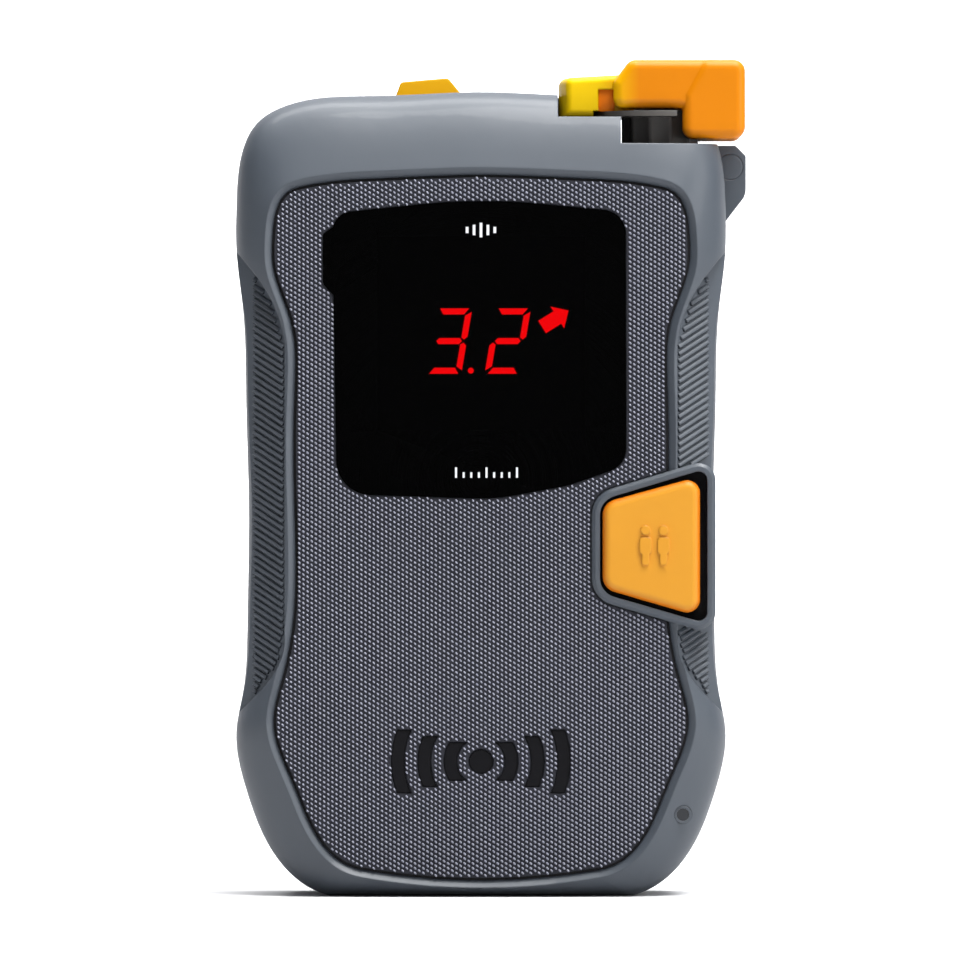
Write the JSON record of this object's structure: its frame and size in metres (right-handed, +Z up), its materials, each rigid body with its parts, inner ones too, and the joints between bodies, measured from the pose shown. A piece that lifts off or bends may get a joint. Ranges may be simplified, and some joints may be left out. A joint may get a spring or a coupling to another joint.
{
  "type": "avalanche transceiver",
  "caption": "Hand-held avalanche transceiver with a digital display, a side suppress key, a turning mode lever with lock, and a rear battery door.",
  "frame": {"origin": "centre of the flat base, halfway between the front and the back of the base", "axes": "+Z up the device's length, +X to the right of a person facing the display, -Y the way the display looks"},
  "size_m": [0.0742, 0.0283, 0.1212],
  "materials": {
    "shell_grey": "fine satin moulded, slightly metallic grey",
    "panel_grey": "embossed with a fine hexagonal field of bumps",
    "lens_black": "polished smoked lens",
    "emblem_black": "satin inlay",
    "mark_white": "printed",
    "light_red": "lit",
    "light_off": "unlit",
    "module_black": "moulded",
    "key_orange": "satin moulded",
    "lever_orange": "satin moulded",
    "seal_black": "soft moulded",
    "collar_black": "moulded",
    "steel": "drawn",
    "magnet_grey": "plated",
    "brass_insert": "knurled",
    "contact_plate": "nickel plated",
    "cell_wrap": "printed film over steel can",
    "board_green": "solder mask over glass fibre",
    "ferrite": "sintered",
    "copper_wire": "enamelled winding",
    "light_clear": "smoked light guide",
    "ring_grey": "moulded"
  },
  "bodies": {
    "case": {"front_shell": "shell_grey", "rear_shell": "shell_grey", "case_seal": "seal_black", "grip_panel": "panel_grey", "panel_gasket": "seal_black", "display_lens": "lens_black", "front_emblem": "emblem_black", "lens_marks": "mark_white", "lit_segments": "light_red", "unlit_segments": "light_off", "display_module": "module_black", "button_membrane": "seal_black", "button_switch": "module_black", "switch_collar": "collar_black", "shaft_seal": "seal_black", "detent_spring": "steel", "lock_spring": "steel", "door_insert": "brass_insert", "batteries": "cell_wrap", "battery_contacts": "contact_plate", "battery_springs": "steel", "main_board": "board_green", "processor_chips": "module_black", "hall_sensors": "module_black", "board_screws": "steel", "antenna_rod_long": "ferrite", "antenna_coil_long": "copper_wire", "antenna_rod_short": "ferrite", "antenna_coil_short": "copper_wire", "z_axis_coil": "copper_wire", "speaker": "module_black", "speaker_mesh": "contact_plate", "light_pipe": "light_clear", "light_ring": "ring_grey", "lanyard_bar": "shell_grey", "case_screws": "steel"},
    "suppress_key": {"suppress_button": "key_orange"},
    "mode_switch": {"mode_lever": "lever_orange", "glide_washer": "collar_black", "switch_shaft": "steel", "detent_wheel": "collar_black", "switch_magnet": "magnet_grey", "retaining_clip": "steel"},
    "lock": {"lock_button": "lever_orange"},
    "door": {"battery_door": "shell_grey", "door_seal": "seal_black"},
    "door_fastener": {"door_screw": "steel"}
  },
  "joints": [
    {"name": "suppress_press", "type": "slide", "parent": "case", "child": "suppress_key", "axis": [0, 1, 0], "range_m": [0, 0.0009], "stiffness_N_per_m": 2500},
    {"name": "mode_turn", "type": "hinge", "parent": "case", "child": "mode_switch", "pos_m": [0.02605, 0, 0.11], "axis": [0, 0, 1], "range_deg": [0, 90]},
    {"name": "lock_press", "type": "slide", "parent": "case", "child": "lock", "axis": [0, 0, -1], "range_m": [0, 0.002], "stiffness_N_per_m": 600, "deforming": ["lock_spring"]},
    {"name": "door_open", "type": "hinge", "parent": "case", "child": "door", "pos_m": [0, 0.0119, 0.0072], "axis": [-1, 0, 0], "range_deg": [0, 85]},
    {"name": "door_screw_turn", "type": "hinge", "parent": "door", "child": "door_fastener", "pos_m": [0, 0.0119, 0.0615], "axis": [0, 1, 0], "continuous": true}
  ]
}
